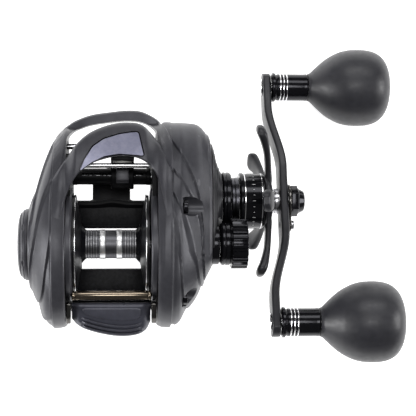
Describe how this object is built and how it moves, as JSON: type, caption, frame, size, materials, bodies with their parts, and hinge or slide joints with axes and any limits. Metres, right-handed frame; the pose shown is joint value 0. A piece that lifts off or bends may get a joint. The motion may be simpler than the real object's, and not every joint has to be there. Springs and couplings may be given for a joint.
{
  "type": "baitcasting reel",
  "caption": "Low-profile baitcasting reel with an open frame, level-wind line guide, star drag, thumb-bar clutch and a double power handle.",
  "frame": {"origin": "centre of the reel foot's underside, on its middle web", "axes": "+X along the spool shaft to the handle, +Y along the foot to the rod tip, +Z away from the rod"},
  "size_m": [0.1467, 0.1234, 0.0649],
  "materials": {
    "graphite_paint": "satin graphite-black paint",
    "satin_black": "satin black coat",
    "black_anodised": "gloss black anodised, polished edges",
    "badge_metal": "satin blue-grey anodised",
    "steel": "polished steel",
    "dark_steel": "dark nickel",
    "brass": "machined brass",
    "grip_rubber": "matte black grip",
    "inner_plastic": "natural nylon",
    "carbon": "woven drag washer",
    "insert_ceramic": "polished ceramic"
  },
  "bodies": {
    "reel_body": {"frame": "satin_black", "reel_foot": "satin_black", "hood": "graphite_paint", "badge_panel": "badge_metal", "nose_bar": "graphite_paint", "palm_side_plate": "graphite_paint", "handle_side_plate": "graphite_paint", "gear_cover": "graphite_paint", "side_screw_upper": "dark_steel", "side_screw_rear": "dark_steel", "brake_plate": "inner_plastic", "magnet_ring": "steel", "spool_bearing_left": "steel", "spool_bearing_right": "steel", "yoke_spring_upper": "steel", "yoke_spring_lower": "steel", "worm_tube": "satin_black", "lower_guide_rod": "steel", "upper_guide_rod": "steel", "rear_bar": "dark_steel", "anti_reverse_bearing": "steel", "bearing_cover": "satin_black", "tension_base": "brass"},
    "brake_dial": {"brake_dial": "graphite_paint"},
    "spool": {"spool": "black_anodised", "spool_shaft": "steel", "brake_rotor": "brass"},
    "clutch_cam": {"clutch_cam": "steel"},
    "clutch_yoke": {"clutch_yoke": "inner_plastic"},
    "pinion": {"pinion": "brass"},
    "worm": {"worm_shaft": "steel", "worm_gear": "inner_plastic"},
    "line_guide": {"line_guide": "satin_black", "guide_insert": "insert_ceramic", "guide_pawl": "brass"},
    "thumb_bar": {"thumb_bar": "graphite_paint", "thumb_link_left": "dark_steel", "thumb_link_right": "dark_steel"},
    "tension_knob": {"tension_knob": "satin_black"},
    "handle": {"drive_shaft": "steel", "main_gear": "brass", "drive_cog": "inner_plastic", "ratchet_wheel": "steel", "drag_washer": "carbon", "pressure_plate": "steel", "drive_spacer": "satin_black", "handle_spacer": "steel", "handle_arm": "graphite_paint", "handle_washer": "dark_steel", "handle_nut": "black_anodised", "nut_screw": "steel", "knob_post_front": "steel", "knob_post_rear": "steel"},
    "star_drag": {"star_hub": "black_anodised", "star_wheel": "graphite_paint"},
    "knob_front": {"knob_front": "grip_rubber", "knob_sleeve_front": "black_anodised"},
    "knob_rear": {"knob_rear": "grip_rubber", "knob_sleeve_rear": "black_anodised"}
  },
  "joints": [
    {"name": "handle_turn", "type": "hinge", "parent": "reel_body", "child": "handle", "pos_m": [0.05, 0.0165, 0.0136], "axis": [1, 0, 0], "continuous": true},
    {"name": "spool_spin", "type": "hinge", "parent": "reel_body", "child": "spool", "pos_m": [0, 0, 0.0265], "axis": [1, 0, 0], "continuous": true},
    {"name": "worm_spin", "type": "hinge", "parent": "reel_body", "child": "worm", "pos_m": [0, 0.0259, 0.0205], "axis": [1, 0, 0], "continuous": true},
    {"name": "pinion_spin", "type": "hinge", "parent": "clutch_yoke", "child": "pinion", "pos_m": [0.026, 0, 0.0265], "axis": [1, 0, 0], "continuous": true},
    {"name": "thumb_press", "type": "slide", "parent": "reel_body", "child": "thumb_bar", "axis": [0, 0, -1], "range_m": [0, 0.004]},
    {"name": "cam_turn", "type": "hinge", "parent": "reel_body", "child": "clutch_cam", "pos_m": [0.0188, 0, 0.0265], "axis": [1, 0, 0], "range_deg": [0, 11]},
    {"name": "yoke_lift", "type": "slide", "parent": "reel_body", "child": "clutch_yoke", "axis": [1, 0, 0], "range_m": [0, 0.0016], "deforming": ["yoke_spring_upper", "yoke_spring_lower"]},
    {"name": "guide_travel", "type": "slide", "parent": "reel_body", "child": "line_guide", "axis": [1, 0, 0], "range_m": [-0.0135, 0.0047]},
    {"name": "star_turn", "type": "hinge", "parent": "handle", "child": "star_drag", "pos_m": [0.056, 0.0165, 0.0136], "axis": [1, 0, 0], "range_deg": [-180, 180]},
    {"name": "tension_turn", "type": "hinge", "parent": "reel_body", "child": "tension_knob", "pos_m": [0.046, 0, 0.0265], "axis": [1, 0, 0], "range_deg": [-180, 180]},
    {"name": "brake_turn", "type": "hinge", "parent": "reel_body", "child": "brake_dial", "pos_m": [-0.0325, 0, 0.0265], "axis": [1, 0, 0], "range_deg": [0, 270]},
    {"name": "knob_front_spin", "type": "hinge", "parent": "handle", "child": "knob_front", "pos_m": [0.072, 0.06304, -0.00107], "axis": [1, 0, 0], "continuous": true},
    {"name": "knob_rear_spin", "type": "hinge", "parent": "handle", "child": "knob_rear", "pos_m": [0.072, -0.03004, 0.02827], "axis": [1, 0, 0], "continuous": true}
  ],
  "couplings": [
    {"joint": "spool_spin", "follows": "handle_turn", "ratio": -5.6667},
    {"joint": "pinion_spin", "follows": "handle_turn", "ratio": -5.6667},
    {"joint": "worm_spin", "follows": "handle_turn", "ratio": -1.375},
    {"joint": "cam_turn", "follows": "thumb_press", "rad_per_m": 47.6},
    {"joint": "yoke_lift", "follows": "thumb_press", "ratio": 0.4}
  ]
}
